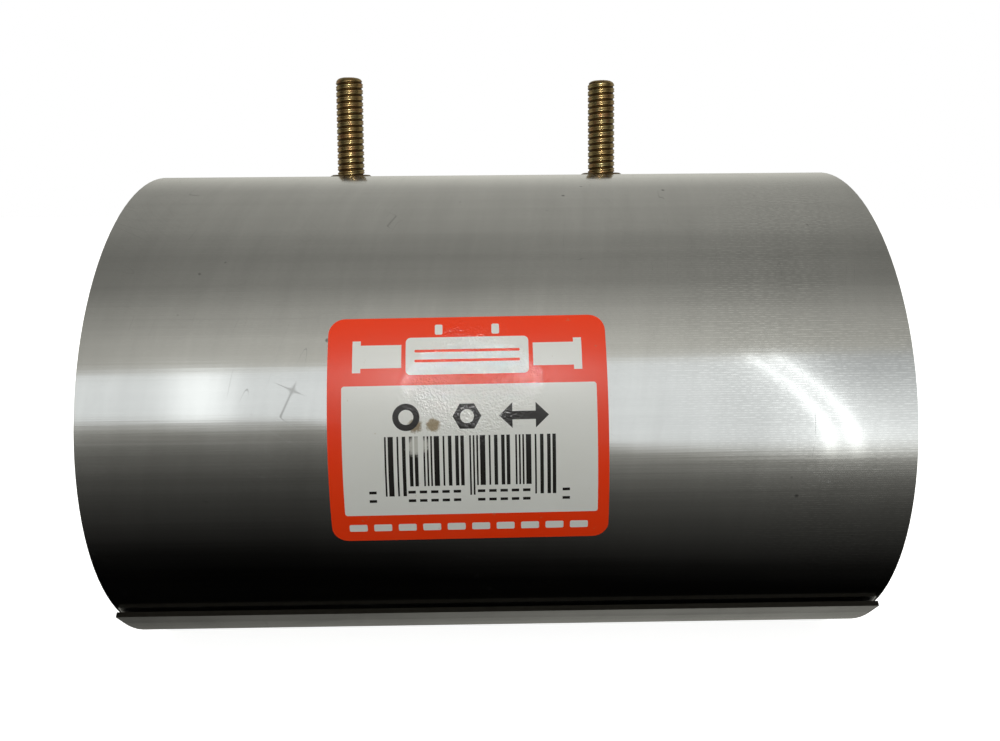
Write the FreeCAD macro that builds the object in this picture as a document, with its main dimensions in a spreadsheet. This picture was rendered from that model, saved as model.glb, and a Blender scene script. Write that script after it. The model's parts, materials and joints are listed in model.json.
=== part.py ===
"""Pipe repair clamp: a full-circle sleeve that two studs draw tight round a leaking pipe.

Row frame, in millimetres: X runs along the pipe, +Y points from the pipe to the lugs, +Z is up.
The origin is the centre of the bore. The studs stand along Z behind the sleeve.

The sleeve's rolled pieces are drawn in a section frame whose x, y and z are the row's Y, Z and X.
There an angle is measured about the pipe from the lugs' side, and a piece's height is its length
along the pipe. ALONG_PIPE turns a finished piece from the section frame to the row frame.
"""
import FreeCAD
import Part
import os
import re

SHEET = "Sizes"
SIZES = {
    # Sleeve
    "SleeveLength": (152.4, "length of the sleeve along the pipe, 6 inches"),
    "SleeveRadius": (50.8, "outside radius of the closed band, 4 inches across"),
    "SheetThickness": (0.95, "20 gauge stainless sheet"),
    "BandGapAngle": (12.0, "half of the opening between the band's ends, degrees"),
    # Gasket and the plate that bridges the gap
    "BoreRadius": (44.45, "inside radius of the gasket, for a 3 1/2 inch pipe outside diameter"),
    "GasketClearance": (0.05, "gasket to band"),
    "GasketSetBack": (1.6, "gasket end behind the band end"),
    "GasketSlitAngle": (1.2, "slit where the gasket's ends meet, degrees"),
    "PlateThickness": (0.6, "bridge plate sheet"),
    "PlateAngle": (27.5, "half of the bridge plate's arc, degrees"),
    "PlateLength": (146.0, "bridge plate along the pipe"),
    "PlateClearance": (0.05, "bridge plate in its recess"),
    # Lug straps: sheet folded round a bar, both legs lying on the band
    "LugAngle": (15.0, "angle of each bar from the middle of the gap, degrees"),
    "PlyGap": (0.2, "strap to band"),
    "ReturnGap": (0.1, "returned leg to the leg below it"),
    "BendRadius": (4.525, "outside fillet where the returned leg leaves the bar"),
    "UpperLegAngle": (70.0, "upper strap's first leg ends here, degrees"),
    "LowerLegAngle": (135.0, "lower strap's first leg ends here, on the sleeve's front, degrees"),
    "FlatEnd": (5.0, "rolling leaves the last of each first leg straight, so its edge stands off"),
    "ReturnLegAngle": (52.0, "returned legs end here, degrees"),
    # Bars
    "BarRadius": (6.35, "half of a 1/2 inch bar"),
    "BarClearance": (0.05, "bar in its loop"),
    "BarLength": (149.4, "bar along the pipe"),
    "SeatHeight": (5.2, "milled washer seat above the bar's axis"),
    "WindowHeight": (4.4, "sheet is cut away above this height over the bar's axis"),
    "WindowReach": (8.2, "sheet is cut away this far on the pipe's side of the stud"),
    "WindowWidth": (18.5, "milled seat and strap window along the pipe"),
    # Studs, nuts and washers
    "StudRadius": (3.97, "half of a 5/16 inch stud"),
    "StudLength": (100.4, "about 4 inches; the foot stays inside the lower bar"),
    "StudTop": (80.8, "height of the studs' tips, on average"),
    "StudStep": (1.3, "the left stud stands this much higher than the right one"),
    "StudSpacing": (74.9, "between the two studs"),
    "StudOffset": (-4.9, "middle of the two studs along the pipe"),
    "StudTip": (1.5, "rounding at both ends of the stud"),
    "StudFit": (0.02, "stud in the lower bar"),
    "SlotClearance": (0.45, "stud to each side of its open slot"),
    "NutFlats": (12.7, "across the flats"),
    "NutHeight": (6.75, "plain hexagon nut"),
    "NutChamfer": (0.85, "chamfer circle on each face, as a share of the flats"),
    "NutClearance": (0.06, "nut bore to thread crest"),
    "NutLift": (24.1, "washer above its seat, nuts slackened"),
    "WasherRadius": (7.94, "half of the washer's outside diameter"),
    "WasherThickness": (1.6, "plain washer"),
    "WasherClearance": (0.1, "washer bore to thread crest, and washer to nut"),
    # Label
    "LabelWidth": (50.8, "label along the pipe"),
    "LabelOffset": (-5.5, "middle of the label along the pipe"),
    "LabelAngle": (47.6, "label round the band, degrees"),
    "LabelRise": (3.6, "middle of the label above the front of the sleeve, degrees"),
    "LabelTilt": (0.5, "label laid slightly askew, its end at +X higher, degrees"),
    "LabelThickness": (0.1, "printed film"),
    "LabelCorner": (3.0, "rounded corner"),
    "LabelTrim": (4.0, "film outside the outline before trimming, in mm along and degrees round"),
}

# Distances that follow from the driving sizes, as expressions in the section frame.
STRAP_IN = "(SleeveRadius + PlyGap)"
STRAP_OUT = "(SleeveRadius + PlyGap + SheetThickness)"
RETURN_IN = "(SleeveRadius + PlyGap + SheetThickness + ReturnGap)"
RETURN_OUT = "(SleeveRadius + PlyGap + 2 * SheetThickness + ReturnGap)"
LOOP_IN = "(BarRadius + BarClearance)"
LOOP_OUT = "(BarRadius + BarClearance + SheetThickness)"
LUG_REACH = f"({STRAP_OUT} + {LOOP_IN})"
BAR_Y = f"({LUG_REACH} * cos(LugAngle))"
BAR_Z = f"({LUG_REACH} * sin(LugAngle))"
SLOT_HALF = "(StudRadius + SlotClearance)"
STUD_FOOT = "(StudTop - StudLength)"
SEAT_Z = f"({BAR_Z} + SeatHeight)"
WASHER_Z = f"({SEAT_Z} + NutLift)"
NUT_Z = f"({WASHER_Z} + WasherThickness + WasherClearance)"
SIDES = {"left": -1, "right": 1}

ALONG_PIPE = FreeCAD.Placement(FreeCAD.Vector(), FreeCAD.Rotation(FreeCAD.Vector(1, 1, 1), 120))

doc = FreeCAD.newDocument("PipeRepairClamp")


def make_sheet():
    """Write every driving size into the spreadsheet, one row each."""
    sheet = doc.addObject("Spreadsheet::Sheet", SHEET)
    for row, (alias, (value, meaning)) in enumerate(SIZES.items(), start=1):
        sheet.set(f"A{row}", meaning)
        sheet.set(f"B{row}", str(value))
        sheet.setAlias(f"B{row}", alias)
    doc.recompute()


def bind(thing, path, expression):
    """Drive one property of an object from the spreadsheet."""
    words = "|".join(SIZES)
    thing.setExpression(path, re.sub(rf"\b({words})\b", rf"{SHEET}.\1", expression))


def place(thing, x=None, y=None, z=None, turn=None):
    """Drive an object's position, and its turn about its own z, where they aren't zero."""
    for path, expression in (("Base.x", x), ("Base.y", y), ("Base.z", z), ("Rotation.Angle", turn)):
        if expression is not None:
            bind(thing, f"Placement.{path}", expression)
    return thing


def cylinder(name, radius, height, sweep=None):
    """A cylinder, or a sector of one, standing on z."""
    solid = doc.addObject("Part::Cylinder", name)
    bind(solid, "Radius", radius)
    bind(solid, "Height", height)
    if sweep is not None:
        bind(solid, "Angle", sweep)
    return solid


def box(name, length, width, height):
    """A box with its first corner at its own origin."""
    solid = doc.addObject("Part::Box", name)
    bind(solid, "Length", length)
    bind(solid, "Width", width)
    bind(solid, "Height", height)
    return solid


def join(kind, name, shapes):
    """A boolean of several shapes: MultiFuse or MultiCommon."""
    result = doc.addObject(f"Part::{kind}", name)
    result.Shapes = shapes
    return result


def cut(name, base, tools):
    """The base less one or more tools."""
    result = doc.addObject("Part::Cut", name)
    result.Base = base
    result.Tool = tools[0] if len(tools) == 1 else join("MultiFuse", f"{name}_tools", tools)
    return result


def finish(thing, label, placement=FreeCAD.Placement()):
    """Name a finished sub-part and move it to its place in the row frame."""
    thing.Label = label
    thing.Placement = placement
    return thing


def rolled(name, inner, outer, start, sweep, length, centre=("0", "0")):
    """Sheet rolled about a line along the pipe: a sector of a tube, centred on the sleeve's length."""
    skins = []
    for side, radius in (("outside", outer), ("inside", inner)):
        skin = cylinder(f"{name}_{side}", radius, length, sweep)
        skins.append(place(skin, centre[0], centre[1], f"-({length}) / 2", start))
    return cut(name, skins[0], skins[1:])


def make_band():
    """The main shell: one sheet rolled into a C whose ends stop short of each other at the back."""
    inner = "(SleeveRadius - SheetThickness)"
    sweep = "360 - 2 * BandGapAngle"
    band = rolled("Band", inner, "SleeveRadius", "BandGapAngle", sweep, "SleeveLength")
    return finish(band, "band", ALONG_PIPE)


def make_gasket():
    """The rubber liner: a slit ring with a shallow recess behind the gap for the bridge plate."""
    length = "(SleeveLength - 2 * GasketSetBack)"
    outer = "(SleeveRadius - SheetThickness - GasketClearance)"
    ring = rolled("GasketRing", "BoreRadius", outer, "GasketSlitAngle / 2",
                  "360 - GasketSlitAngle", length)
    recess_angle = "(PlateAngle + 0.5)"
    recess = rolled("GasketRecess", f"{outer} - PlateThickness - PlateClearance", "SleeveRadius",
                    f"-{recess_angle}", f"2 * {recess_angle}", "(PlateLength + 1)")
    return finish(cut("Gasket", ring, [recess]), "gasket", ALONG_PIPE)


def make_bridge_plate():
    """The thin plate that carries the gasket across the gap between the band's ends."""
    outer = "(SleeveRadius - SheetThickness - GasketClearance)"
    plate = rolled("BridgePlate", f"{outer} - PlateThickness", outer,
                   "-PlateAngle", "2 * PlateAngle", "PlateLength")
    return finish(plate, "bridge_plate", ALONG_PIPE)


def folded_strap(name, leg_angle):
    """Sheet that lies on the band, folds round a bar and returns over its own first leg.

    The first leg's free end is straight. The triangle of the pipe's, the bar's and the bend's
    centres sets where the arcs meet.
    """
    bend_reach = f"({RETURN_OUT} + BendRadius)"
    bar_to_bend = f"({LOOP_OUT} + BendRadius)"
    at_pipe = (f"acos(({bend_reach}^2 + {LUG_REACH}^2 - {bar_to_bend}^2)"
               f" / (2 * {bend_reach} * {LUG_REACH}))")
    at_bar = (f"acos(({LUG_REACH}^2 + {bar_to_bend}^2 - {bend_reach}^2)"
              f" / (2 * {LUG_REACH} * {bar_to_bend}))")
    bend_angle = f"(LugAngle * 1 deg + {at_pipe})"
    bend_centre = (f"{bend_reach} * cos({bend_angle})", f"{bend_reach} * sin({bend_angle})")
    flat_start = f"({leg_angle} * 1 deg - atan(FlatEnd / {STRAP_IN}))"
    flat = box(f"{name}Flat", "SheetThickness", "FlatEnd", "SleeveLength")
    pieces = [
        rolled(f"{name}Leg", STRAP_IN, STRAP_OUT, "LugAngle", f"{flat_start} - LugAngle * 1 deg",
               "SleeveLength"),
        place(flat, f"{STRAP_IN} * cos({flat_start})", f"{STRAP_IN} * sin({flat_start})",
              "-SleeveLength / 2", flat_start),
        rolled(f"{name}Loop", LOOP_IN, LOOP_OUT, "LugAngle + 180", f"360 deg - {at_bar}",
               "SleeveLength", (BAR_Y, BAR_Z)),
        rolled(f"{name}Bend", "BendRadius", "BendRadius + SheetThickness",
               f"{bend_angle} + 180 deg", f"180 deg - {at_pipe} - {at_bar}",
               "SleeveLength", bend_centre),
        rolled(f"{name}Return", RETURN_IN, RETURN_OUT, bend_angle,
               f"ReturnLegAngle * 1 deg - {bend_angle}", "SleeveLength"),
    ]
    strap = join("MultiFuse", f"{name}Sheet", pieces)
    strap.Refine = True
    return strap


def stud_x(side):
    """Where a stud stands along the pipe."""
    return f"(StudOffset + {SIDES[side]} * StudSpacing / 2)"


def slot(name, side, bar_z, below):
    """A slot as wide as a stud, open towards the back, from below the bar's axis upwards."""
    cutter = box(name, f"{SLOT_HALF} + 2 * {LOOP_OUT}", f"{below} + 2 * {LOOP_OUT}",
                 f"2 * {SLOT_HALF}")
    return place(cutter, f"{BAR_Y} - {SLOT_HALF}", f"{bar_z} - {below}",
                 f"{stud_x(side)} - {SLOT_HALF}")


def window(name, side, reach, height):
    """Room for a washer: everything above a height over the upper bar's axis."""
    cutter = box(name, f"{reach} + 2 * {LOOP_OUT}", f"2 * {LOOP_OUT}", "WindowWidth")
    return place(cutter, f"{BAR_Y} - {reach}", f"{BAR_Z} + {height}",
                 f"{stud_x(side)} - WindowWidth / 2")


def make_upper_lug_strap():
    """The strap that holds the upper bar, with washer windows and slots open to the back."""
    tools = []
    for side in SIDES:
        tools.append(slot(f"UpperSlot_{side}", side, BAR_Z, f"2 * {LOOP_OUT}"))
        tools.append(window(f"UpperWindow_{side}", side, "WindowReach", "WindowHeight"))
    strap = cut("UpperStrap", folded_strap("Upper", "UpperLegAngle"), tools)
    return finish(strap, "upper_lug_strap", ALONG_PIPE)


def make_lower_lug_strap():
    """The strap that holds the lower bar; its first leg runs on round to the front of the sleeve."""
    mirrored = doc.addObject("Part::Mirroring", "LowerSheetMirrored")
    mirrored.Source = folded_strap("Lower", "LowerLegAngle")
    mirrored.Normal = FreeCAD.Vector(0, 1, 0)
    tools = [slot(f"LowerSlot_{side}", side, f"-{BAR_Z}", SLOT_HALF) for side in SIDES]
    return finish(cut("LowerStrap", mirrored, tools), "lower_lug_strap", ALONG_PIPE)


def make_upper_bar():
    """The bar that the washers press on: milled seats, and slots that let the studs swing out."""
    bar = place(cylinder("UpperBarRod", "BarRadius", "BarLength"), BAR_Y, BAR_Z, "-BarLength / 2")
    tools = []
    for side in SIDES:
        tools.append(slot(f"BarSlot_{side}", side, BAR_Z, f"2 * {LOOP_OUT}"))
        tools.append(window(f"BarSeat_{side}", side, "(2 * BarRadius)", "SeatHeight"))
    return finish(cut("UpperBar", bar, tools), "upper_bar", ALONG_PIPE)


def make_lower_bar():
    """The bar that the studs are fixed in; it turns in its loop as they swing."""
    bar = place(cylinder("LowerBarRod", "BarRadius", "BarLength"), BAR_Y, f"-{BAR_Z}",
                "-BarLength / 2")
    holes = []
    for side in SIDES:
        hole = cylinder(f"StudHole_{side}", "StudRadius + StudFit", "4 * BarRadius")
        hole.Placement.Rotation = FreeCAD.Rotation(FreeCAD.Vector(1, 0, 0), -90)
        holes.append(place(hole, BAR_Y, f"-{BAR_Z} - 2 * BarRadius", stud_x(side)))
    return finish(cut("LowerBar", bar, holes), "lower_bar", ALONG_PIPE)


def make_stud(side):
    """A stud at its thread's crest size, with both ends rounded over."""
    length = f"(StudLength - {SIDES[side]} * StudStep / 2)"
    blank = place(cylinder(f"StudBlank_{side}", "StudRadius", length), z=STUD_FOOT)
    doc.recompute()
    stud = doc.addObject("Part::Fillet", f"Stud_{side}")
    stud.Base = blank
    tip = SIZES["StudTip"][0]
    rims = [number for number, edge in enumerate(blank.Shape.Edges, start=1) if edge.isClosed()]
    stud.Edges = [(number, tip, tip) for number in rims]
    return place(finish(stud, f"stud_{side}"), stud_x(side), BAR_Y)


def make_washer(side):
    """A plain washer, lying a little above its seat on the upper bar."""
    disc = cylinder(f"WasherDisc_{side}", "WasherRadius", "WasherThickness")
    hole = cylinder(f"WasherHole_{side}", "StudRadius + WasherClearance", "WasherThickness")
    washer = finish(cut(f"Washer_{side}", disc, [hole]), f"washer_{side}")
    return place(washer, stud_x(side), BAR_Y, WASHER_Z)


def make_nut(side):
    """A hexagon nut, its corners chamfered at both faces by a pair of 30 degree cones."""
    prism = doc.addObject("Part::Prism", f"NutPrism_{side}")
    prism.Polygon = 6
    bind(prism, "Circumradius", "NutFlats / 2 / cos(30)")
    bind(prism, "Height", "NutHeight")
    shapes = [prism]
    small = "NutFlats * NutChamfer / 2"
    large = f"({small} + NutHeight / tan(30))"
    for face, radii in (("top", (large, small)), ("bottom", (small, large))):
        cone = doc.addObject("Part::Cone", f"NutCone_{face}_{side}")
        bind(cone, "Radius1", radii[0])
        bind(cone, "Radius2", radii[1])
        bind(cone, "Height", "NutHeight")
        shapes.append(cone)
    blank = join("MultiCommon", f"NutBlank_{side}", shapes)
    bore = cylinder(f"NutBore_{side}", "StudRadius + NutClearance", "NutHeight")
    nut = finish(cut(f"Nut_{side}", blank, [bore]), f"nut_{side}")
    return place(nut, stud_x(side), BAR_Y, NUT_Z)


def make_label():
    """The printed film on the front of the band, trimmed to a rectangle with rounded corners."""
    film = rolled("LabelFilm", "SleeveRadius", "SleeveRadius + LabelThickness",
                  "180 - LabelRise - LabelAngle / 2 - LabelTrim", "LabelAngle + 2 * LabelTrim",
                  "LabelWidth + LabelTrim")
    height = "(2 * SleeveRadius * sin(LabelAngle / 2))"
    depth = "(SleeveRadius + LabelCorner)"
    tall = place(box("LabelTall", depth, height, "LabelWidth - 2 * LabelCorner"),
                 y=f"-{height} / 2", z="-LabelWidth / 2 + LabelCorner")
    wide = place(box("LabelWide", depth, f"{height} - 2 * LabelCorner", "LabelWidth"),
                 y=f"-{height} / 2 + LabelCorner", z="-LabelWidth / 2")
    trims = [tall, wide]
    for up in (-1, 1):
        for along in (-1, 1):
            corner = cylinder("LabelCornerRound", "LabelCorner", depth)
            corner.Placement.Rotation = FreeCAD.Rotation(FreeCAD.Vector(0, 1, 0), 90)
            trims.append(place(corner, y=f"{up} * ({height} / 2 - LabelCorner)",
                               z=f"{along} * (LabelWidth / 2 - LabelCorner)"))
    outline = join("MultiFuse", "LabelOutline", trims)
    bind(outline, "Placement",
         "placement(vector(0; 0; 0); rotationz(180 - LabelRise) * rotationx(LabelTilt))")
    label = join("MultiCommon", "Label", [film, outline])
    finish(label, "label", ALONG_PIPE)
    return place(label, x="LabelOffset")


def check_and_export(subparts):
    """Stop on any failed object or bad shape, then write one STEP file for each sub-part."""
    failed = [thing.Name for thing in doc.Objects if {"Invalid", "Error"} & set(thing.State)]
    if failed:
        raise RuntimeError(f"these objects failed to recompute: {failed}")
    os.makedirs("parts", exist_ok=True)
    for thing in subparts:
        shape = thing.Shape
        if shape.isNull() or not shape.isValid() or len(shape.Solids) != 1:
            raise RuntimeError(f"{thing.Label} is not one valid solid")
        limits = shape.BoundBox
        print(f"{thing.Label:16} {shape.Volume:10.1f} mm3",
              f"x {limits.XMin:.2f} {limits.XMax:.2f}",
              f"y {limits.YMin:.2f} {limits.YMax:.2f}",
              f"z {limits.ZMin:.2f} {limits.ZMax:.2f}")
        shape.exportStep(os.path.join("parts", f"{thing.Label}.step"))


make_sheet()
subparts = [
    make_band(),
    make_gasket(),
    make_bridge_plate(),
    make_upper_lug_strap(),
    make_lower_lug_strap(),
    make_upper_bar(),
    make_lower_bar(),
    make_label(),
]
for side in SIDES:
    subparts += [make_stud(side), make_washer(side), make_nut(side)]
doc.recompute()
check_and_export(subparts)
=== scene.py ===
"""Looks for the pipe repair clamp: brushed stainless sleeve, zinc-plated studs, rubber and label.

Lengths are metres in the row frame: X along the pipe, +Y from the pipe to the lugs, +Z up.
Round the sleeve, an angle of zero is the front (-Y) and rises over the top towards the lugs.
"""
import json
import math

import bmesh
import bpy
from mathutils import Matrix, Vector


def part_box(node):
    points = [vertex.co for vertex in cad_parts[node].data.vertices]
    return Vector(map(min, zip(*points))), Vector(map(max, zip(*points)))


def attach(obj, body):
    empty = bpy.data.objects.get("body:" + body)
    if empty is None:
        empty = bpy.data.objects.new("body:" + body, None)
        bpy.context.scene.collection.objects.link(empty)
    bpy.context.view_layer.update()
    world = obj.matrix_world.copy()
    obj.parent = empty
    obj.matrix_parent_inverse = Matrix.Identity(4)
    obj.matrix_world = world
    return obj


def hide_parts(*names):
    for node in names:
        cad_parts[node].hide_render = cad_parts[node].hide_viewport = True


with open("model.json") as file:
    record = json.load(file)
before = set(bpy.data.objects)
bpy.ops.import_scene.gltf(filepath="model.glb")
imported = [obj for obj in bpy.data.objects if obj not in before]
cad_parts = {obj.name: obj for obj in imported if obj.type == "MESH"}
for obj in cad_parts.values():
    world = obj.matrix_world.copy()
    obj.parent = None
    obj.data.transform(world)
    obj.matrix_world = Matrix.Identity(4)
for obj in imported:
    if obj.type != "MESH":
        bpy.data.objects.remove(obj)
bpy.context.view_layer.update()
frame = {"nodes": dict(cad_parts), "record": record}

MM = 0.001
MERGE_DISTANCE = 0.0005 * MM
SLEEVE_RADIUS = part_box("band")[1].z
GASKET_LOW, GASKET_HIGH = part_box("gasket")
LABEL_LOW, LABEL_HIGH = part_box("label")
BORE_RADIUS = frame["record"]["mounts"][0]["dims"]["r_mm"] * MM
FLOOR_GAP = 0.4 * MM
FLOOR_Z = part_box("lower_lug_strap")[0].z - FLOOR_GAP

# Thread: 14 turns to the inch, with a broad crest that the plating has dulled
PITCH = 25.4 * MM / 14
THREAD_DEPTH = 0.4 * MM
# One pitch as (share of the pitch, share of the depth): groove, crest, dip along the crest, crest
THREAD_PROFILE = ((0.0, 1.0), (0.11, 0.8), (0.18, 0.12), (0.25, 0.0), (0.34, 0.05), (0.42, 0.36),
                  (0.50, 0.36), (0.58, 0.05), (0.67, 0.0), (0.74, 0.12), (0.82, 0.8))

# Label: its middle on the sleeve, and how it lies there
LABEL_X = (LABEL_LOW.x + LABEL_HIGH.x) / 2
LABEL_RISE = math.radians(3.6)
LABEL_TILT = math.radians(0.5)
LABEL_HALF_WIDTH = 25.4 * MM
LABEL_HALF_HEIGHT = math.radians(47.6 / 2) * SLEEVE_RADIUS
LABEL_CORNER = 3 * MM
FILM_LIFT = 0.02 * MM
FILM_THICKNESS = 0.055 * MM
INK_THICKNESS = 0.01 * MM


# ---------------------------------------------------------------- mesh and node helpers

def mesh_piece(name, points, faces, material, smooth=True):
    """A mesh object in the row frame with one material."""
    mesh = bpy.data.meshes.new(name)
    mesh.from_pydata(points, [], faces)
    mesh.validate()
    mesh.update()
    mesh.polygons.foreach_set("use_smooth", [smooth] * len(mesh.polygons))
    piece = bpy.data.objects.new(name, mesh)
    bpy.context.scene.collection.objects.link(piece)
    mesh.materials.append(material)
    return piece


def add(tree, kind, inputs=None, **settings):
    """Add a shader node; an input is either a value or the output that feeds it."""
    made = tree.nodes.new(kind)
    for name, value in settings.items():
        setattr(made, name, value)
    for name, value in (inputs or {}).items():
        socket = made.inputs[name]
        if isinstance(value, bpy.types.NodeSocket):
            tree.links.new(value, socket)
        else:
            socket.default_value = value
    return made


def new_material(name, **surface):
    """A material whose Principled shader has the given inputs. Returns its tree and shader too."""
    material = bpy.data.materials.new(name)
    material.use_nodes = True
    shader = material.node_tree.nodes["Principled BSDF"]
    for socket, value in surface.items():
        shader.inputs[socket.replace("_", " ")].default_value = value
    return material, material.node_tree, shader


def feed(tree, shader, **sources):
    """Link outputs to the shader's inputs by name."""
    for socket, source in sources.items():
        tree.links.new(source, shader.inputs[socket.replace("_", " ")])


def object_point(tree, scale=(1, 1, 1)):
    """The point on the piece in metres, stretched by a scale for each axis."""
    point = add(tree, "ShaderNodeTexCoord").outputs["Object"]
    return add(tree, "ShaderNodeMapping", {"Vector": point, "Scale": scale}).outputs["Vector"]


def surface_point(tree, scale=(1, 1), turned=0.0):
    """The point rolled out flat in metres: along X, and round the pipe at the sleeve's radius."""
    place = add(tree, "ShaderNodeTexCoord").outputs["Object"]
    parts = add(tree, "ShaderNodeSeparateXYZ", {"Vector": place})
    forward = math_of(tree, "MULTIPLY", parts.outputs["Y"], -1.0)
    angle = math_of(tree, "ARCTAN2", parts.outputs["Z"], forward)
    arc_length = math_of(tree, "MULTIPLY", angle, SLEEVE_RADIUS)
    flat = add(tree, "ShaderNodeCombineXYZ", {"X": parts.outputs["X"], "Y": arc_length})
    turn = add(tree, "ShaderNodeVectorRotate", {"Vector": flat.outputs[0], "Angle": math.radians(turned)},
               rotation_type="Z_AXIS")
    scaling = {"Vector": turn.outputs[0], "Scale": (*scale, 1)}
    return add(tree, "ShaderNodeMapping", scaling).outputs["Vector"]


def noise_value(tree, vector, scale=1.0, detail=2.0, roughness=0.5, distortion=0.0):
    """Noise from 0 to 1, most of it near a half."""
    inputs = {"Vector": vector, "Scale": scale, "Detail": detail, "Roughness": roughness,
              "Distortion": distortion}
    return add(tree, "ShaderNodeTexNoise", inputs).outputs["Fac"]


def remap(tree, value, low, high, to_low=0.0, to_high=1.0, smooth=False):
    """A value taken from one range to another, held at the ends."""
    inputs = {"Value": value, "From Min": low, "From Max": high, "To Min": to_low, "To Max": to_high}
    curve = "SMOOTHSTEP" if smooth else "LINEAR"
    return add(tree, "ShaderNodeMapRange", inputs, interpolation_type=curve).outputs["Result"]


def math_of(tree, operation, first, second=0.0):
    """One arithmetic step between two values."""
    made = add(tree, "ShaderNodeMath", {0: first, 1: second}, operation=operation)
    return made.outputs[0]


def product(tree, *values):
    """Several values multiplied together."""
    result = values[0]
    for value in values[1:]:
        result = math_of(tree, "MULTIPLY", result, value)
    return result


def total(tree, *values):
    """Several values added up."""
    result = values[0]
    for value in values[1:]:
        result = math_of(tree, "ADD", result, value)
    return result


def mix_value(tree, factor, first, second):
    """Two numbers mixed by a factor."""
    return add(tree, "ShaderNodeMix", {0: factor, 2: first, 3: second}).outputs[0]


def mix_colour(tree, factor, first, second, blend="MIX"):
    """Two colours mixed by a factor."""
    made = add(tree, "ShaderNodeMix", {0: factor, 6: first, 7: second}, data_type="RGBA",
               blend_type=blend)
    return made.outputs[2]


def level_ramp(tree, value, low, high, levels):
    """Grey levels along a value, from given stops between its lowest and highest."""
    ramp = add(tree, "ShaderNodeValToRGB", {"Fac": remap(tree, value, low, high)})
    elements = ramp.color_ramp.elements
    while len(elements) < len(levels):
        elements.new(0.5)
    for element, (at, level) in zip(elements, levels):
        element.position = (at - low) / (high - low)
        element.color = (level, level, level, 1)
    return ramp.outputs["Color"]


def near_level(tree, smooth, width, at=0.5):
    """One along the line where a smooth value crosses a level, zero away from it."""
    distance = math_of(tree, "ABSOLUTE", math_of(tree, "SUBTRACT", smooth, at))
    return remap(tree, distance, 0.0, width, 1.0, 0.0)


def hair_arcs(tree, vector, lines, width):
    """Sets of fine parallel arcs, as a cloth leaves: the level lines of a smooth noise."""
    smooth = noise_value(tree, vector, detail=0.0)
    steps = math_of(tree, "FRACT", math_of(tree, "MULTIPLY", smooth, lines))
    return near_level(tree, steps, width)


def spot(tree, point, centre, radius, ragged=0.0):
    """One at a place on the piece, fading to zero at a radius, with a ragged rim if asked."""
    offset = add(tree, "ShaderNodeVectorMath", {0: point, 1: centre}, operation="DISTANCE")
    distance = offset.outputs["Value"]
    if ragged:
        rough = noise_value(tree, point, 2.5 / radius, 4.0, 0.7)
        distance = total(tree, distance, math_of(tree, "MULTIPLY", rough, 2 * ragged * radius),
                         -ragged * radius)
    return remap(tree, distance, radius * 0.55, radius, 1.0, 0.0, smooth=True)


def bump(tree, shader, height, distance, coat=False):
    """Feed a height, a share of a distance in metres, into the shader's normal, and its coat's if asked."""
    inputs = {"Height": height, "Strength": 1.0, "Distance": distance}
    normal = add(tree, "ShaderNodeBump", inputs).outputs["Normal"]
    feed(tree, shader, Normal=normal)
    if coat:
        feed(tree, shader, Coat_Normal=normal)


def on_sleeve(across, up, lift):
    """A point of the label: across it and up it from its middle, at a height over the sleeve."""
    along = across * math.cos(LABEL_TILT) - up * math.sin(LABEL_TILT)
    climb = across * math.sin(LABEL_TILT) + up * math.cos(LABEL_TILT)
    angle = LABEL_RISE + climb / SLEEVE_RADIUS
    radius = SLEEVE_RADIUS + lift
    return (LABEL_X + along, -radius * math.cos(angle), radius * math.sin(angle))


# ---------------------------------------------------------------- materials

def sheared_edge(tree):
    """One on a strap's cut faces: its ends along the pipe and its free edge at the front."""
    place = add(tree, "ShaderNodeTexCoord")
    facing = add(tree, "ShaderNodeSeparateXYZ", {"Vector": place.outputs["Normal"]})
    along_pipe, off_radius = 0.8, 0.4
    end_face = math_of(tree, "GREATER_THAN", math_of(tree, "ABSOLUTE", facing.outputs["X"]), along_pipe)
    outward = add(tree, "ShaderNodeVectorMath", {0: place.outputs["Object"], 1: (0, 1, 1)},
                  operation="MULTIPLY")
    outward = add(tree, "ShaderNodeVectorMath", {0: outward.outputs[0]}, operation="NORMALIZE")
    square = add(tree, "ShaderNodeVectorMath", {0: outward.outputs[0], 1: place.outputs["Normal"]},
                 operation="DOT_PRODUCT")
    across = math_of(tree, "LESS_THAN", math_of(tree, "ABSOLUTE", square.outputs["Value"]), off_radius)
    depth = add(tree, "ShaderNodeSeparateXYZ", {"Vector": place.outputs["Object"]}).outputs["Y"]
    front = math_of(tree, "LESS_THAN", depth, 0.0)
    return math_of(tree, "MAXIMUM", end_face, product(tree, across, front))


def cloth_arcs(tree, point):
    """Fine arcs that a cloth left, in patches, plainest on the upper half."""
    strength = 0.5
    rising = hair_arcs(tree, surface_point(tree, (14, 22), 25.0), lines=42.0, width=0.10)
    falling = hair_arcs(tree, surface_point(tree, (30, 16), -20.0), lines=30.0, width=0.09)
    arcs = math_of(tree, "MAXIMUM", rising, falling)
    worn = remap(tree, noise_value(tree, point, 24.0, 3.0), 0.42, 0.60, smooth=True)
    above_axis = add(tree, "ShaderNodeSeparateXYZ", {"Vector": point}).outputs["Z"]
    handled = remap(tree, above_axis, 5 * MM, 38 * MM, 0.25, 1.0)
    return product(tree, arcs, worn, handled, strength)


def straight_scratches(tree, point):
    """A few hairlines that slope two ways, each kind in small patches of its own."""
    hairline = 0.004
    kinds = []
    for stretch, turned, patch_scale in (((26, 300), 24.0, 60.0), ((300, 24), 14.0, 71.0)):
        line_noise = noise_value(tree, surface_point(tree, stretch, turned), detail=0.0)
        here = remap(tree, noise_value(tree, point, patch_scale, 2.0), 0.60, 0.64)
        kinds.append(product(tree, near_level(tree, line_noise, hairline), here))
    return math_of(tree, "MAXIMUM", *kinds)


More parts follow.
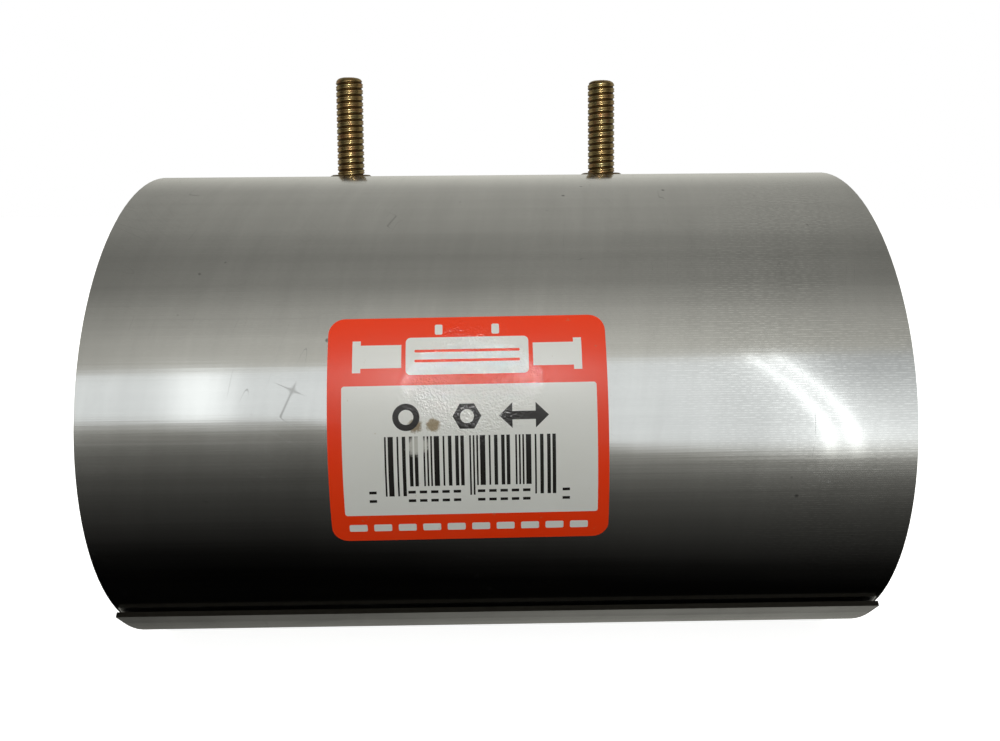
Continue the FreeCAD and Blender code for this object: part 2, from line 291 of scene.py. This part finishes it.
def dark_specks(tree, point):
    """Small specks, here and there."""
    cell = add(tree, "ShaderNodeTexVoronoi", {"Vector": point, "Scale": 300.0}).outputs["Distance"]
    here = remap(tree, noise_value(tree, point, 310.0, 1.0), 0.64, 0.69)
    return product(tree, remap(tree, cell, 0.07, 0.15, 1.0, 0.0), here)


def stainless(name, tint, rough_low, rough_high, scratched=1.0, edges=False):
    """Rolled stainless sheet: fine grain along X, hair arcs, straight scratches, smudges, specks, and
    painted glints on fine roll lines.
    """
    grain_height = 0.009 * MM
    material, tree, shader = new_material(name, Metallic=1.0, Anisotropic=0.97)
    point = object_point(tree)
    fine = noise_value(tree, object_point(tree, (18, 2300, 2300)), 1.0, 2.0, 0.55)
    coarse = noise_value(tree, object_point(tree, (9, 420, 420)), 1.0, 3.0, 0.6)
    smudge = noise_value(tree, point, 32.0, 4.0, 0.6, 0.6)
    wiped = noise_value(tree, surface_point(tree, (230, 28), 7.0), 1.0, 3.0, 0.6)
    arcs = product(tree, cloth_arcs(tree, point), scratched)
    deep = product(tree, straight_scratches(tree, point), scratched)
    specks = dark_specks(tree, point)
    # Painted highlight: the roll lines are lightened in colour as glints, and the patches that hold them
    # are painted a little darker around them.
    painted_glint, painted_glint_patch = painted_roll_glints(tree, point)

    shade = product(tree, remap(tree, smudge, 0.3, 0.7, 0.93, 1.0),
                    remap(tree, coarse, 0.25, 0.75, 0.965, 1.03),
                    remap(tree, wiped, 0.3, 0.7, 0.96, 1.03))
    shade = total(tree, shade, product(tree, specks, -0.55), product(tree, deep, -0.22),
                  product(tree, arcs, -0.05), product(tree, painted_glint, 0.34),
                  product(tree, painted_glint_patch, -0.09))
    colour = mix_colour(tree, 1.0, (*tint, 1), shade, "MULTIPLY")
    rough = total(tree, remap(tree, smudge, 0.3, 0.7, rough_low, rough_high),
                  remap(tree, coarse, 0.3, 0.7, -0.01, 0.015),
                  product(tree, arcs, 0.05), product(tree, deep, 0.12))
    if edges:
        # The strap's cut faces are painted near-black, far darker than the sheet, with a faint mottle.
        cut = sheared_edge(tree)
        torn = noise_value(tree, object_point(tree, (700, 2600, 2600)), 1.0, 3.0, 0.6)
        near_black_cut_colour = mix_colour(tree, torn, (0.008, 0.007, 0.005, 1), (0.036, 0.033, 0.028, 1))
        colour = mix_colour(tree, cut, colour, near_black_cut_colour)
        rough = mix_value(tree, cut, rough, 0.5)
    feed(tree, shader, Base_Color=colour, Roughness=rough)
    grain_way = add(tree, "ShaderNodeTangent", direction_type="RADIAL", axis="X")
    feed(tree, shader, Tangent=grain_way.outputs["Tangent"])
    height = total(tree, product(tree, fine, 0.6), coarse, product(tree, arcs, -0.15),
                   product(tree, deep, -0.2))
    bump(tree, shader, height, grain_height)
    return material


def painted_roll_glints(tree, point):
    """Painted glints: fine lines left by the rolls, lightened in colour here and there, plainest towards
    the right-hand end.

    Returns the painted glints and where the lines are.
    """
    line_gap = 0.43 * MM
    flat = add(tree, "ShaderNodeSeparateXYZ", {"Vector": surface_point(tree)})
    wave = math_of(tree, "SINE", math_of(tree, "MULTIPLY", flat.outputs["Y"], 2 * math.pi / line_gap))
    sparkle = noise_value(tree, surface_point(tree, (1000, 2200)), 1.0, 1.0)
    plain_from, plain_to = 20 * MM, 55 * MM
    here = remap(tree, flat.outputs["X"], plain_from, plain_to, 0.12, 1.0, smooth=True)
    patch = remap(tree, noise_value(tree, point, 30.0, 2.0), 0.35, 0.6)
    here = product(tree, here, patch)
    painted_glint = product(tree, remap(tree, wave, -0.3, 0.9), remap(tree, sparkle, 0.38, 0.66), here)
    return painted_glint, here


def yellow_zinc(name, darkened=0.0):
    """Yellow chromate zinc: olive brass with rose and green drifts, and painted shade in the thread
    grooves. A darkened share darkens the whole piece that far towards the same dark brown.
    """
    brass, olive, rose = (0.31, 0.21, 0.088, 1), (0.265, 0.22, 0.105, 1), (0.31, 0.16, 0.075, 1)
    # Dark brown for the painted shade in the thread grooves, also used to darken whole pieces.
    groove_shade_brown = (0.055, 0.030, 0.009, 1)
    plating_height = 0.008 * MM

    material, tree, shader = new_material(name, Metallic=1.0)
    point = object_point(tree)
    drift = noise_value(tree, point, 160.0, 3.0, 0.6, 0.8)
    patch = noise_value(tree, point, 520.0, 3.0, 0.6)
    gold = mix_colour(tree, remap(tree, drift, 0.35, 0.65), brass, olive)
    gold = mix_colour(tree, remap(tree, patch, 0.52, 0.70), gold, rose)
    # Painted shade: the deeper the thread groove, the nearer its colour is to dark brown.
    crevice = add(tree, "ShaderNodeAttribute", attribute_name="crevice").outputs["Fac"]
    groove_shade_and_darkening = remap(tree, crevice, 0.08, 0.8, darkened, 1.0)
    gold = mix_colour(tree, groove_shade_and_darkening, gold, groove_shade_brown)
    rough = total(tree, remap(tree, patch, 0.3, 0.7, 0.24, 0.36), product(tree, groove_shade_and_darkening, 0.22))
    feed(tree, shader, Base_Color=gold, Roughness=rough)
    bump(tree, shader, noise_value(tree, point, 2600.0, 2.0), plating_height)
    return material


def bar_steel():
    """Drawn bar: plain bright steel with faint lines along it."""
    return stainless("bar_steel_drawn", (0.50, 0.50, 0.49), rough_low=0.24, rough_high=0.36, scratched=0.4)


def rubber():
    """Moulded black rubber, slightly chalky, with a fine surface texture."""
    black, chalky = (0.018, 0.018, 0.019, 1), (0.06, 0.058, 0.055, 1)
    texture_height = 0.02 * MM

    material, tree, shader = new_material("gasket_rubber_moulded")
    point = object_point(tree)
    chalk = noise_value(tree, point, 60.0, 5.0, 0.65)
    colour = mix_colour(tree, remap(tree, chalk, 0.42, 0.75), black, chalky)
    feed(tree, shader, Base_Color=colour, Roughness=remap(tree, chalk, 0.3, 0.7, 0.52, 0.72))
    bump(tree, shader, noise_value(tree, point, 1900.0, 3.0), texture_height)
    return material


def printed(name, colour, worn_colour, stains=()):
    """Ink on glossy film: faintly uneven, rubbed in small spots, and pebbled in one patch.

    A stain is a place across and up the label, a radius, all in millimetres, and a colour.
    """
    pebbled_across, pebbled_up, pebbled_radius = 0.5 * MM, 8.5 * MM, 14 * MM
    pebble_height = 0.16 * MM

    material, tree, shader = new_material(name, Roughness=0.34, Specular_IOR_Level=0.1,
                                          Coat_Weight=0.22, Coat_Roughness=0.06)
    point = object_point(tree)
    uneven = noise_value(tree, point, 90.0, 4.0, 0.6)
    rubbed = remap(tree, noise_value(tree, point, 430.0, 4.0, 0.7), 0.68, 0.72)
    base = mix_colour(tree, remap(tree, uneven, 0.3, 0.7, 0.0, 0.10), (*colour, 1), (*worn_colour, 1))
    base = mix_colour(tree, product(tree, rubbed, 0.6), base, (*worn_colour, 1))
    for across, up, radius, stain in stains:
        mask = spot(tree, point, on_sleeve(across * MM, up * MM, FILM_THICKNESS), radius * MM, 0.5)
        base = mix_colour(tree, mask, base, (*stain, 1))
    feed(tree, shader, Base_Color=base)
    pebbled_middle = on_sleeve(pebbled_across, pebbled_up, FILM_THICKNESS)
    pebbled = spot(tree, point, pebbled_middle, pebbled_radius, 0.3)
    pebbles = product(tree, noise_value(tree, point, 2400.0, 1.0, 0.6), pebbled)
    height = total(tree, pebbles, product(tree, noise_value(tree, point, 700.0, 2.0), 0.06))
    bump(tree, shader, height, pebble_height, coat=True)
    return material


# ---------------------------------------------------------------- studs

def threaded_stud(side, material):
    """A stud with a right-hand thread from end to end, rounded over at both ends.

    The rows of points run up the stud along the thread, and those past an end are held in its plane.
    """
    low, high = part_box(f"stud_{side}")
    crest = (high.x - low.x) / 2
    axis = (low + high) / 2
    steps_round = 64
    rows_pitch = len(THREAD_PROFILE)
    tip = 1.7 * MM
    spare_turns = 3
    turns = int((high.z - low.z) / PITCH) + spare_turns
    rows = turns * rows_pitch
    points, crevices = [], []
    for step in range(steps_round):
        angle = 2 * math.pi * step / steps_round
        for row in range(rows):
            share, depth = THREAD_PROFILE[row % rows_pitch]
            turn = row // rows_pitch + share + step / steps_round - 1
            z = min(max(low.z + turn * PITCH, low.z), high.z)
            inset = tip - min(z - low.z, high.z - z, tip)
            rounded = crest - tip + math.sqrt(max(tip * tip - inset * inset, 0.0))
            radius = min(crest - THREAD_DEPTH * depth, rounded)
            points.append((axis.x + radius * math.cos(angle), axis.y + radius * math.sin(angle), z))
            crevices.append(depth if radius < rounded else 0.0)
    faces = []
    for step in range(steps_round):
        following = (step + 1) % steps_round
        drop = rows_pitch if following == 0 else 0
        for row in range(rows - 1 - drop):
            faces.append((step * rows + row, following * rows + row + drop,
                          following * rows + row + 1 + drop, step * rows + row + 1))
    stud = mesh_piece(f"threaded_stud_{side}", points, faces, material)
    attribute = stud.data.attributes.new("crevice", "FLOAT", "POINT")
    attribute.data.foreach_set("value", crevices)
    close_stud_ends(stud.data)
    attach(stud, "stud_set")
    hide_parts(f"stud_{side}")
    return stud


def close_stud_ends(mesh):
    """Merge the rows that the stud's end planes have flattened, and cap both ends."""
    work = bmesh.new()
    work.from_mesh(mesh)
    bmesh.ops.remove_doubles(work, verts=work.verts[:], dist=MERGE_DISTANCE)
    bmesh.ops.dissolve_degenerate(work, edges=work.edges[:], dist=MERGE_DISTANCE)
    bmesh.ops.holes_fill(work, edges=work.edges[:], sides=0)
    bmesh.ops.recalc_face_normals(work, faces=work.faces[:])
    work.to_mesh(mesh)
    work.free()


# ---------------------------------------------------------------- gasket

def waffle_gasket(material):
    """The rubber liner with a grid of raised pads moulded into its bore, slit behind the lugs."""
    outer = GASKET_HIGH.z
    groove_depth = 1.3 * MM
    root = BORE_RADIUS + groove_depth
    slit = math.radians(1.2)
    pads_round, pads_along = 42, 22
    groove = 0.15
    wall = 0.08
    border = 3 * MM
    rim = 1 * MM
    bevel = 0.4 * MM

    pad = (GASKET_HIGH.x - GASKET_LOW.x - 2 * border) / pads_along
    across_pad = ((groove, False), (groove + wall, True), (1 - groove - wall, True), (1 - groove, False))
    stations = [(GASKET_LOW.x, True), (GASKET_LOW.x + rim, True)]
    for number in range(pads_along):
        start = GASKET_LOW.x + border + number * pad
        stations += [(start + share * pad, raised) for share, raised in across_pad]
    stations += [(GASKET_HIGH.x - rim, True), (GASKET_HIGH.x, True)]
    last = len(stations) - 1

    step = (2 * math.pi - slit) / pads_round
    round_pad = ((0.0, False), (groove, False), (groove + wall, True), (0.5, True),
                 (1 - groove - wall, True), (1 - groove, False))
    angles = []
    for number in range(pads_round):
        start = slit / 2 + number * step
        angles += [(start + share * step, raised) for share, raised in round_pad]
    angles.append((2 * math.pi - slit / 2, False))

    back = [(GASKET_HIGH.x, outer - bevel), (GASKET_HIGH.x - bevel, outer),
            (GASKET_LOW.x + bevel, outer), (GASKET_LOW.x, outer - bevel)]
    points, faces = [], []
    for angle, high_round in angles:
        inner = []
        for place, (x, high_along) in enumerate(stations):
            at_end = place < 2 or place > last - 2
            radius = BORE_RADIUS if at_end or (high_along and high_round) else root
            inner.append((x, radius))
        for x, radius in inner + back:
            points.append((x, radius * math.cos(angle), radius * math.sin(angle)))
    width = len(stations) + len(back)
    for turn in range(len(angles) - 1):
        for place in range(width):
            following = (place + 1) % width
            faces.append((turn * width + place, turn * width + following,
                          (turn + 1) * width + following, (turn + 1) * width + place))
    faces.append(tuple(range(width)))
    faces.append(tuple((len(angles) - 1) * width + place for place in reversed(range(width))))
    gasket = mesh_piece("gasket_waffle", points, faces, material, smooth=False)
    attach(gasket, "sleeve")
    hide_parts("gasket")


# ---------------------------------------------------------------- label

def arc(centre_x, centre_y, radius, start, end, steps):
    """Points along an arc, angles in degrees."""
    angles = (math.radians(start + (end - start) * step / steps) for step in range(steps + 1))
    return [(centre_x + radius * math.cos(angle), centre_y + radius * math.sin(angle)) for angle in angles]


def rectangle(left, right, low, high, corner=0.0):
    """A rectangle as points round it, its corners rounded where a radius is given."""
    if not corner:
        return [(left, low), (right, low), (right, high), (left, high)]
    steps = 8
    inner_left, inner_right = left + corner, right - corner
    inner_low, inner_high = low + corner, high - corner
    outline = arc(inner_right, inner_high, corner, 0, 90, steps)
    outline += arc(inner_left, inner_high, corner, 90, 180, steps)
    outline += arc(inner_left, inner_low, corner, 180, 270, steps)
    outline += arc(inner_right, inner_low, corner, 270, 360, steps)
    return outline


def polygon(centre_x, centre_y, radius, sides, start=0.0):
    """A regular polygon; many sides make a circle."""
    return arc(centre_x, centre_y, radius, start, start + 360 * (sides - 1) / sides, sides - 1)


def wrapped(name, outlines, lift, thickness, material):
    """A thin printed shape wrapped on the sleeve. An outline inside another one is a hole in it."""
    flat = bpy.data.curves.new(name, "CURVE")
    flat.dimensions = "2D"
    flat.fill_mode = "BOTH"
    for outline in outlines:
        spline = flat.splines.new("POLY")
        spline.points.add(len(outline) - 1)
        for point, (x, y) in zip(spline.points, outline):
            point.co = (x, y, 0, 1)
        spline.use_cyclic_u = True
    holder = bpy.data.objects.new(name, flat)
    bpy.context.scene.collection.objects.link(holder)
    mesh = bpy.data.meshes.new_from_object(holder)
    bpy.data.objects.remove(holder)
    wrap_mesh(mesh, lift, thickness)
    piece = bpy.data.objects.new(name, mesh)
    bpy.context.scene.collection.objects.link(piece)
    mesh.materials.clear()
    mesh.materials.append(material)
    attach(piece, "sleeve")
    return piece


def wrap_mesh(mesh, lift, thickness):
    """Slice a flat mesh into rows so that it bends smoothly, thicken it and wrap it on the sleeve."""
    work = bmesh.new()
    work.from_mesh(mesh)
    bmesh.ops.remove_doubles(work, verts=work.verts[:], dist=MERGE_DISTANCE)
    lowest = min(vert.co.y for vert in work.verts)
    highest = max(vert.co.y for vert in work.verts)
    row = 0.8 * MM  # about a degree round the sleeve
    for number in range(1, math.ceil((highest - lowest) / row)):
        bmesh.ops.bisect_plane(work, geom=work.verts[:] + work.edges[:] + work.faces[:],
                               plane_co=(0, lowest + number * row, 0), plane_no=(0, 1, 0))
    made = bmesh.ops.extrude_face_region(work, geom=work.faces[:])
    for item in made["geom"]:
        if isinstance(item, bmesh.types.BMVert):
            item.co.z += thickness
    for vert in work.verts:
        vert.co = on_sleeve(vert.co.x, vert.co.y, lift + vert.co.z)
    bmesh.ops.recalc_face_normals(work, faces=work.faces[:])
    work.to_mesh(mesh)
    work.free()


def ink(name, outlines, material):
    """Ink on the label film, its outlines in millimetres from the label's middle; level with the panel."""
    scaled = [[(x * MM, y * MM) for x, y in outline] for outline in outlines]
    return wrapped(f"label_{name}", scaled, FILM_LIFT + FILM_THICKNESS, INK_THICKNESS, material)


def bar_code(left, right, low, high):
    """Upright bars in a regular rhythm that carries no number; the outer and middle ones are longer."""
    widths = (1, 2, 1, 3, 2, 1, 1, 2)
    count = 30
    outer_long = 4
    middle_long = (count // 2 - 1, count // 2)
    raised_foot = 1.9
    rhythm = [(widths[3 * number % len(widths)], widths[(5 * number + 2) % len(widths)])
              for number in range(count)]
    last_gap = rhythm[-1][1]
    unit = (right - left) / (sum(bar + gap for bar, gap in rhythm) - last_gap)
    cursor = left
    outlines = []
    for number, (bar, gap) in enumerate(rhythm):
        long = number < outer_long or number >= count - outer_long or number in middle_long
        foot = low if long else low + raised_foot
        outlines.append(rectangle(cursor, cursor + bar * unit, foot, high))
        cursor += (bar + gap) * unit
    return outlines


def double_arrow(tail, head, up):
    """A level arrow with a point at each end."""
    point_length, point_half, shaft_half = 2.4, 2.3, 0.75
    neck_left, neck_right = tail + point_length, head - point_length
    upper = [(neck_left, point_half), (neck_left, shaft_half), (neck_right, shaft_half),
             (neck_right, point_half)]
    lower = [(x, -y) for x, y in reversed(upper)]
    around = [(tail, 0.0)] + upper + [(head, 0.0)] + lower
    return [(x, up + y) for x, y in around]


def panel_dashes():
    """Pairs of dashes below the bars: two groups of five, and one pair off to each side."""
    pitch, length, thickness = 2.05, 1.35, 0.55
    starts = [-18.2, 16.9]
    for group in (-11.1, 1.5):
        starts += [group + pitch * number for number in range(5)]
    return [rectangle(start, start + length, low, low + thickness)
            for start in starts for low in (-12.9, -11.2)]


def panel_marks():
    """Plain marks over the bars, a pipe end, a nut and a length arrow, and the dashes below them."""
    up = 2.95
    pipe_place, nut_place = -11.2, -0.2
    pipe_end = [polygon(pipe_place, up, radius, 40) for radius in (2.45, 1.35)]
    nut = [polygon(nut_place, up, 2.6, 6), polygon(nut_place, up, 1.25, 32)]
    return pipe_end + nut + [double_arrow(5.6, 14.6, up)] + panel_dashes()


def header_mark():
    """A plain picture of a clamp closed round a pipe, with two studs standing up from it."""
    middle = 13.9
    pipe_start, flange, pipe_end = 12.0, 19.4, 20.9
    pipe_half, flange_half = 2.1, 2.9
    stud_place, stud_half, stud_foot, stud_top = 5.2, 0.7, 3.9, 5.8
    clamp_half_length, clamp_half_height = 11.2, 3.4
    line_half_length, line_thickness = 9.6, 0.5
    marks = []
    for side in (-1, 1):
        upper = [(pipe_start, pipe_half), (flange, pipe_half), (flange, flange_half),
                 (pipe_end, flange_half)]
        around = upper + [(x, -y) for x, y in reversed(upper)]
        marks.append([(side * x, middle + y) for x, y in around])
        stud = side * stud_place
        marks.append(rectangle(stud - stud_half, stud + stud_half, middle + stud_foot,
                               middle + stud_top, corner=0.3))
    marks.append(rectangle(-clamp_half_length, clamp_half_length, middle - clamp_half_height,
                           middle + clamp_half_height, corner=0.9))
    for foot in (-1.15, 0.65):
        low = middle + foot
        marks.append(rectangle(-line_half_length, line_half_length, low, low + line_thickness,
                               corner=0.2))
    return marks


def footer_dashes():
    """A row of plain dashes along the label's foot."""
    first, pitch, length = -22.2, 4.5, 3.3
    low, high = -19.0, -17.5
    starts = [first + pitch * number for number in range(10)]
    return [rectangle(start, start + length, low, high, corner=0.3) for start in starts]


def make_label():
    """The label: orange film, white panel, bars and plain marks. Returns its pieces."""
    brown_stain, darker_stain, pale_scuff = (0.34, 0.27, 0.17), (0.28, 0.22, 0.14), (0.55, 0.54, 0.50)
    orange = printed("label_orange", (0.95, 0.045, 0.004), (0.70, 0.14, 0.06))
    white = printed("label_white", (0.80, 0.80, 0.77), (0.60, 0.56, 0.45),
                    stains=((-9.6, 1.4, 1.5, darker_stain), (-6.3, 1.5, 1.5, brown_stain)))
    black = printed("label_black", (0.012, 0.010, 0.009), (0.10, 0.09, 0.08),
                    stains=((-9.2, -2.2, 2.3, pale_scuff),))
    outline = rectangle(-LABEL_HALF_WIDTH, LABEL_HALF_WIDTH, -LABEL_HALF_HEIGHT, LABEL_HALF_HEIGHT,
                        LABEL_CORNER)
    groove_shade_and_darkening = wrapped("label_film", [outline], FILM_LIFT, FILM_THICKNESS, orange)
    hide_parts("label")
    cuts = bar_code(left=-15.2, right=15.75, low=-11.7, high=-0.5) + panel_marks()
    panel = rectangle(left=-22.8, right=23.35, low=-15.55, high=8.65, corner=0.5)
    return [groove_shade_and_darkening,
            ink("panel", [panel] + cuts, white),
            ink("black_marks", cuts, black),
            ink("header_mark", header_mark(), white),
            ink("footer_dashes", footer_dashes(), white)]


# ---------------------------------------------------------------- camera, floor and light

def make_camera():
    """The camera stands close in front of the sleeve, a little above its axis."""
    data = bpy.data.cameras.new("camera")
    data.lens = 31.04
    data.sensor_width = 36
    data.shift_y = -0.1095
    data.clip_start = 0.005
    camera = bpy.data.objects.new("camera", data)
    turn = Matrix.Rotation(math.radians(-0.79), 4, "Z")
    tilt = Matrix.Rotation(math.radians(86), 4, "X")
    roll = Matrix.Rotation(math.radians(-0.5), 4, "Z")
    place = Matrix.Translation((-1.64 * MM, -203.6 * MM, 44.8 * MM))
    camera.matrix_world = place @ turn @ tilt @ roll
    bpy.context.scene.collection.objects.link(camera)
    bpy.context.scene.camera = camera


def make_floor():
    """A wide pale floor just below the sleeve, left out of mirror reflections."""
    material, tree, shader = new_material("floor_pale", Roughness=0.9, Emission_Strength=0.85)
    shade = noise_value(tree, object_point(tree), 3.0, 2.0)
    colour = mix_colour(tree, shade, (0.90, 0.90, 0.90, 1), (0.92, 0.92, 0.92, 1))
    feed(tree, shader, Base_Color=colour)
    shader.inputs["Emission Color"].default_value = (1, 1, 1, 1)
    reach = 6.0
    corners = [(*corner, FLOOR_Z) for corner in rectangle(-reach, reach, -reach, reach)]
    floor = mesh_piece("floor", corners, [(0, 1, 2, 3)], material)
    floor.visible_glossy = False
    floor.visible_diffuse = False


def light_direction(tree):
    """Where the studio light comes from: an angle round X in degrees, and a slope.

    The angle is zero in front and rises over the top. The slope is the distance along X for each
    unit across it.
    """
    way = add(tree, "ShaderNodeTexCoord").outputs["Generated"]
    parts = add(tree, "ShaderNodeSeparateXYZ", {"Vector": way})
    forward = math_of(tree, "MULTIPLY", parts.outputs["Y"], -1.0)
    angle = math_of(tree, "ARCTAN2", parts.outputs["Z"], forward)
    degrees = math_of(tree, "MULTIPLY", angle, 180 / math.pi)
    across = total(tree, math_of(tree, "POWER", parts.outputs["Y"], 2.0),
                   math_of(tree, "POWER", parts.outputs["Z"], 2.0))
    least_across = 0.05
    across = math_of(tree, "MAXIMUM", math_of(tree, "SQRT", across), least_across)
    return degrees, math_of(tree, "DIVIDE", parts.outputs["X"], across)


def panel_level(tree, degrees, slope):
    """The panel in front, with a lamp at the left and a thin double streak at the right."""
    far_right = remap(tree, slope, 0.30, 0.44)
    tapered = total(tree, product(tree, degrees, -0.02), 0.03)
    panel = total(tree, product(tree, far_right, tapered), 1.13)
    lamp = near_level(tree, slope, 0.055, -0.33)

    # The streak stands furthest right at 16 degrees under the horizontal, and bends left from there
    from_bend = total(tree, degrees, 16.0)
    curved = total(tree, slope, product(tree, from_bend, from_bend, 0.00005))
    first_line = near_level(tree, curved, 0.010, 0.388)
    second_line = near_level(tree, curved, 0.010, 0.418)
    streak = math_of(tree, "MAXIMUM", first_line, second_line)
    glow = near_level(tree, curved, 0.075, 0.403)
    return total(tree, panel, product(tree, lamp, 0.6), product(tree, streak, 1.5),
                 product(tree, glow, 0.3))


def ceiling_level(tree, degrees, slope):
    """The pale ceiling over the panel and down behind, dimmer off to the sides."""
    ceiling = level_ramp(tree, degrees, 24, 180, (
        (24, 0.80), (38, 0.64), (50, 0.50), (63, 0.33), (80, 0.29), (93, 0.34), (101, 0.40),
        (123, 0.44), (138, 0.47), (150, 0.59), (160, 0.68), (180, 0.70)))
    sideways = total(tree, remap(tree, slope, -0.7, 0.7, -0.7, 0.7), -0.05)
    return product(tree, ceiling, total(tree, product(tree, sideways, sideways, -1.0), 1.0))


def dark_level(tree, drop, degrees, slope):
    """The dark below the panel by degrees under its edge, and the pale ground low down behind."""
    dark = level_ramp(tree, drop, 0, 90, (
        (0, 0.50), (7, 0.28), (14, 0.17), (26, 0.085), (38, 0.05), (51, 0.025), (65, 0.006),
        (80, 0.001)))
    ground_level = total(tree, remap(tree, slope, -0.4, 0.15, 0.145, 0.29),
                         remap(tree, degrees, -175, -140, 0.35, 0.0))
    on_ground = remap(tree, degrees, -127, -117, 1.0, 0.0, smooth=True)
    return total(tree, dark, product(tree, on_ground, ground_level))


def dim_far_sides(tree, level, degrees, slope):
    """Dim the light far off to the sides in front, and even it out behind."""
    behind_level = 0.68
    sides = math_of(tree, "ABSOLUTE", slope)
    turned = math_of(tree, "ABSOLUTE", degrees)
    in_front = remap(tree, turned, 60, 110, 0.65, 0.0, smooth=True)
    dimmed = product(tree, remap(tree, sides, 0.55, 0.95, smooth=True), in_front, -1.0)
    level = product(tree, level, total(tree, dimmed, 1.0))
    behind = product(tree, remap(tree, turned, 80, 115, smooth=True),
                     remap(tree, sides, 0.55, 0.8, smooth=True))
    return mix_value(tree, behind, level, behind_level)


def make_world():
    """Studio light by direction: a wide soft panel in front, a pale ceiling over it, dark below."""
    world = bpy.data.worlds.new("studio")
    world.use_nodes = True
    bpy.context.scene.world = world
    tree = world.node_tree
    tree.nodes.clear()
    degrees, slope = light_direction(tree)

    # The panel's lower edge is level at the left, runs down to the right and grows softer there
    low_edge = total(tree, remap(tree, slope, -0.22, 0.17, -1.8, -15.8),
                     remap(tree, slope, 0.17, 0.35, 0.0, -2.7))
    high_edge = total(tree, product(tree, slope, 6.5), 24.6)
    softness = remap(tree, slope, 0.0, 0.45, 1.2, 7.0)
    over_low = math_of(tree, "SUBTRACT", degrees, low_edge)
    over_high = math_of(tree, "SUBTRACT", degrees, high_edge)
    above_low = remap(tree, math_of(tree, "DIVIDE", over_low, softness), -1.0, 1.0, smooth=True)
    above_high = remap(tree, over_high, -1.5, 1.5, smooth=True)

    drop = math_of(tree, "MULTIPLY", over_low, -1.0)
    level = mix_value(tree, above_low, dark_level(tree, drop, degrees, slope),
                      panel_level(tree, degrees, slope))
    level = mix_value(tree, above_high, level, ceiling_level(tree, degrees, slope))
    level = dim_far_sides(tree, level, degrees, slope)

    white, warm_white, cool_white = (1, 1, 1, 1), (1.0, 0.99, 0.89, 1), (0.965, 1.0, 0.985, 1)
    in_panel = product(tree, above_low, math_of(tree, "SUBTRACT", 1.0, above_high))
    colour = mix_colour(tree, in_panel, warm_white, cool_white)
    light = add(tree, "ShaderNodeBackground", {"Color": colour, "Strength": level})
    seen = add(tree, "ShaderNodeBackground", {"Color": white, "Strength": 1.0})
    ray = add(tree, "ShaderNodeLightPath").outputs["Is Camera Ray"]
    both = add(tree, "ShaderNodeMixShader", {0: ray, 1: light.outputs[0], 2: seen.outputs[0]})
    add(tree, "ShaderNodeOutputWorld", {"Surface": both.outputs[0]})


def soft_light(name, place, aim, size, power, glossy_on=None):
    """A square light that faces a point.

    It lights every surface softly, or shows only in the gloss of the pieces in glossy_on.
    """
    data = bpy.data.lights.new(name, "AREA")
    data.size = size
    data.energy = power
    lamp = bpy.data.objects.new(name, data)
    lamp.location = place
    lamp.rotation_euler = (Vector(aim) - Vector(place)).to_track_quat("-Z", "Y").to_euler()
    lamp.visible_glossy = bool(glossy_on)
    lamp.visible_diffuse = not glossy_on
    lamp.visible_camera = False
    if glossy_on:
        lit = bpy.data.collections.new(f"{name}_shows_on")
        for piece in glossy_on:
            lit.objects.link(piece)
        lamp.light_linking.receiver_collection = lit
    bpy.context.scene.collection.objects.link(lamp)


# ---------------------------------------------------------------- build

bpy.context.scene.view_settings.view_transform = "Standard"
make_camera()
make_floor()
make_world()
soft_light("top", place=(0.1, -0.1, 0.9), aim=(0, 0, 0), size=0.8, power=4.5)
soft_light("front", place=(0, -0.75, 0.12), aim=(0, -0.05, 0), size=0.3, power=0.47)

sheet_steel = stainless("stainless_sheet_brushed", (0.61, 0.61, 0.61), rough_low=0.07, rough_high=0.10)
strap_steel = stainless("stainless_strap_brushed", (0.58, 0.58, 0.575), rough_low=0.12, rough_high=0.18,
                        edges=True)
plate_steel = stainless("stainless_plate_mill", (0.62, 0.62, 0.61), rough_low=0.20, rough_high=0.30,
                        scratched=0.4)
drawn_steel = bar_steel()
zinc = yellow_zinc("yellow_zinc_plate")
# The nuts' zinc is darkened evenly towards dark brown.
darkened_zinc = yellow_zinc("yellow_zinc_darkened", darkened=0.62)
finishes = {
    "band": sheet_steel,
    "upper_lug_strap": strap_steel,
    "lower_lug_strap": strap_steel,
    "bridge_plate": plate_steel,
    "upper_bar": drawn_steel,
    "lower_bar": drawn_steel,
}
glinting = []
for side in ("left", "right"):
    finishes[f"nut_{side}"] = darkened_zinc
    finishes[f"washer_{side}"] = zinc
    glinting.append(threaded_stud(side, zinc))
for node, material in finishes.items():
    frame["nodes"][node].data.materials.clear()
    frame["nodes"][node].data.materials.append(material)
waffle_gasket(rubber())
glinting += make_label()
soft_light("lamp", place=(-0.012, -0.33, 0.105), aim=(-0.0055, -0.05, 0.013), size=0.035, power=1.3,
           glossy_on=glinting)
